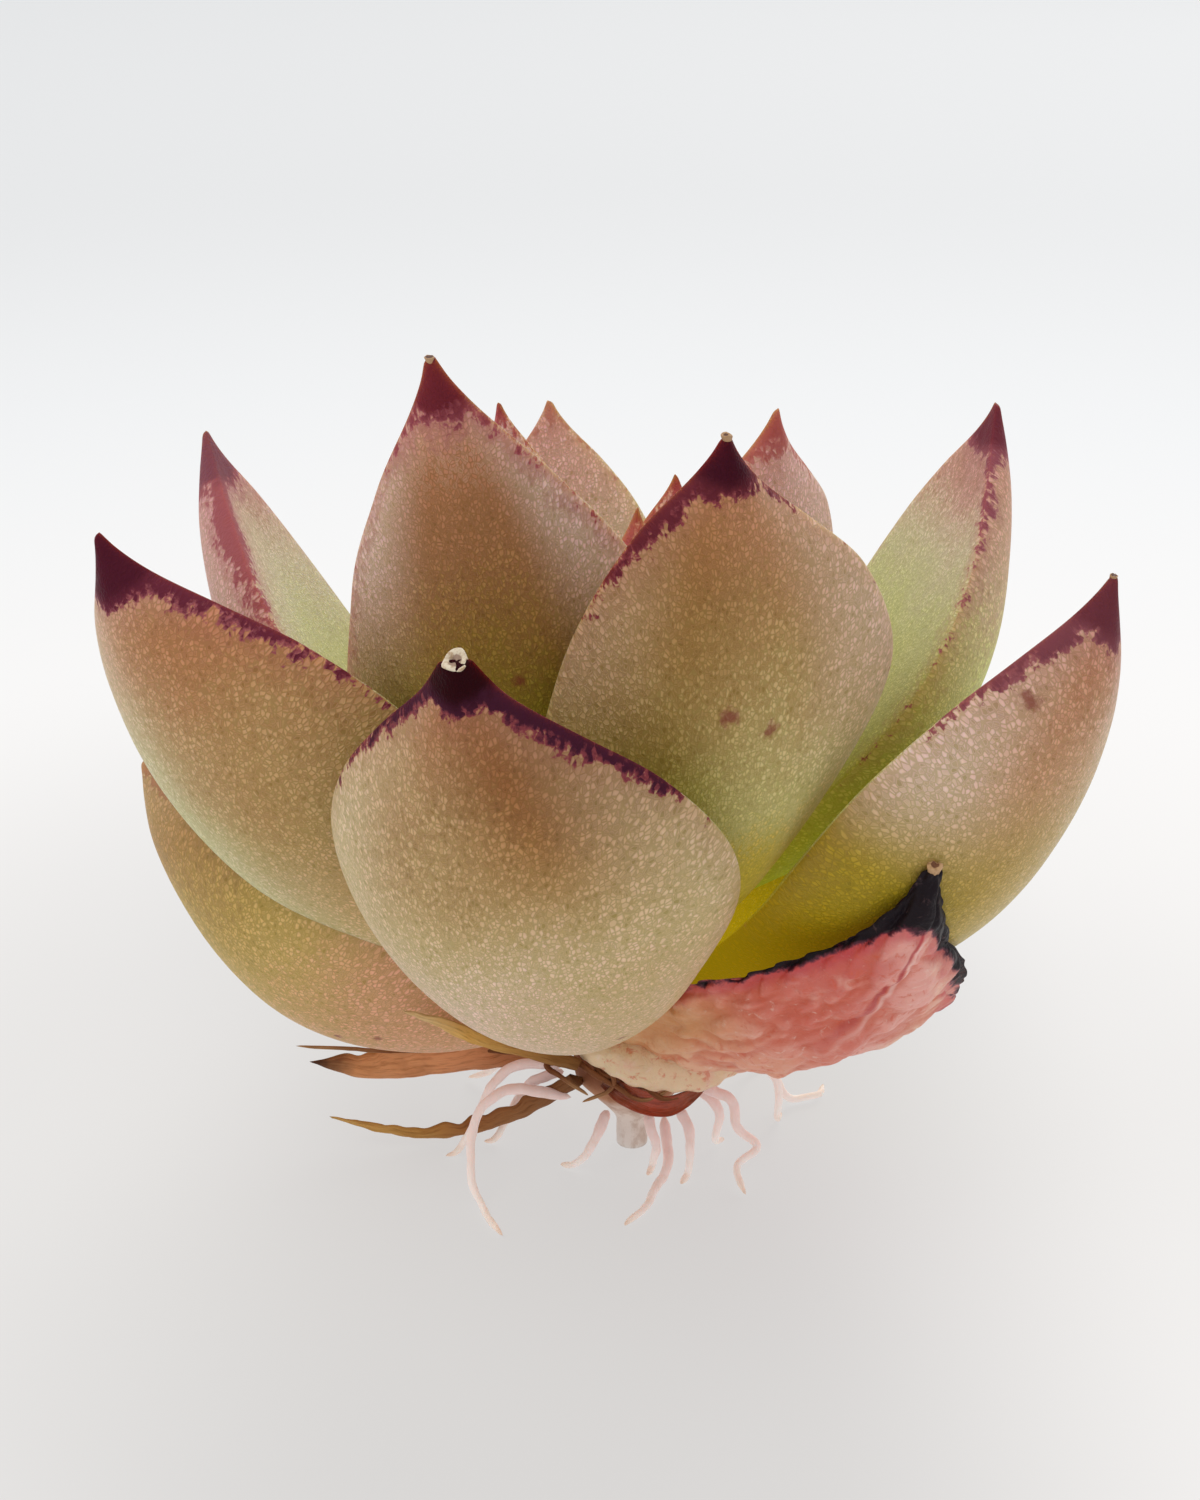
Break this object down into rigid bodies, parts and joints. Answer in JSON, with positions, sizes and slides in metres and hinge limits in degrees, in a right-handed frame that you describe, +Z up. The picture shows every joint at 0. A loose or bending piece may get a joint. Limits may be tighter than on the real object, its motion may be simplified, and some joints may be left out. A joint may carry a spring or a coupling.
{
  "type": "bare-root succulent rosette",
  "caption": "Rosette succulent with thick, pointed, dark-tipped leaves on a short stem, one withered leaf, papery dead leaves and bare roots, standing without a pot.",
  "frame": {"origin": "middle of the taproot's flat end, on the surface that the plant stands on", "axes": "+Z up along the stem, -Y towards the front, the side with the withered leaf to the right of the middle"},
  "size_m": [0.058, 0.0494, 0.0557],
  "materials": {
    "leaf": "satin living leaf skin, olive green to brown-pink with dark purple tips, on wet flesh",
    "young_leaf": "satin young leaf skin, green to rose with crimson tips",
    "withered_leaf": "wrinkled damp skin, salmon red with a black margin",
    "papery_leaf": "dry golden to dark brown fibre",
    "stem": "rough brown bark",
    "root": "smooth pinkish white to beige"
  },
  "bodies": {
    "root": {"withered_leaf": "withered_leaf", "low_leaf_left": "leaf", "low_leaf_back_right": "leaf", "outer_leaf_front": "leaf", "low_leaf_back_left": "leaf", "outer_leaf_right": "leaf", "outer_leaf_left": "leaf", "outer_leaf_back": "leaf", "middle_leaf_front": "leaf", "middle_leaf_back_left": "leaf", "middle_leaf_right": "leaf", "middle_leaf_front_left": "leaf", "inner_leaf_back": "leaf", "inner_leaf_right": "leaf", "inner_leaf_left": "young_leaf", "heart_leaf_back": "young_leaf", "heart_leaf_front": "young_leaf", "heart_leaf_left": "young_leaf", "heart_leaf_right": "young_leaf", "bud_leaf_left": "young_leaf", "bud_leaf_right": "young_leaf", "stem": "stem", "papery_leaf_front": "papery_leaf", "papery_leaf_left": "papery_leaf", "papery_leaf_low": "papery_leaf", "papery_leaf_right": "papery_leaf", "root_left_long": "root", "root_left_short": "root", "root_front_left": "root", "root_front_thin": "root", "root_front_short": "root", "root_front_bent": "root", "root_front_low": "root", "root_right_short": "root", "root_right_curl": "root", "root_right_arch": "root", "root_right_loop": "root", "root_back_right": "root", "root_back_right_low": "root", "root_back": "root", "root_back_left": "root", "root_back_left_low": "root"}
  },
  "joints": []
}
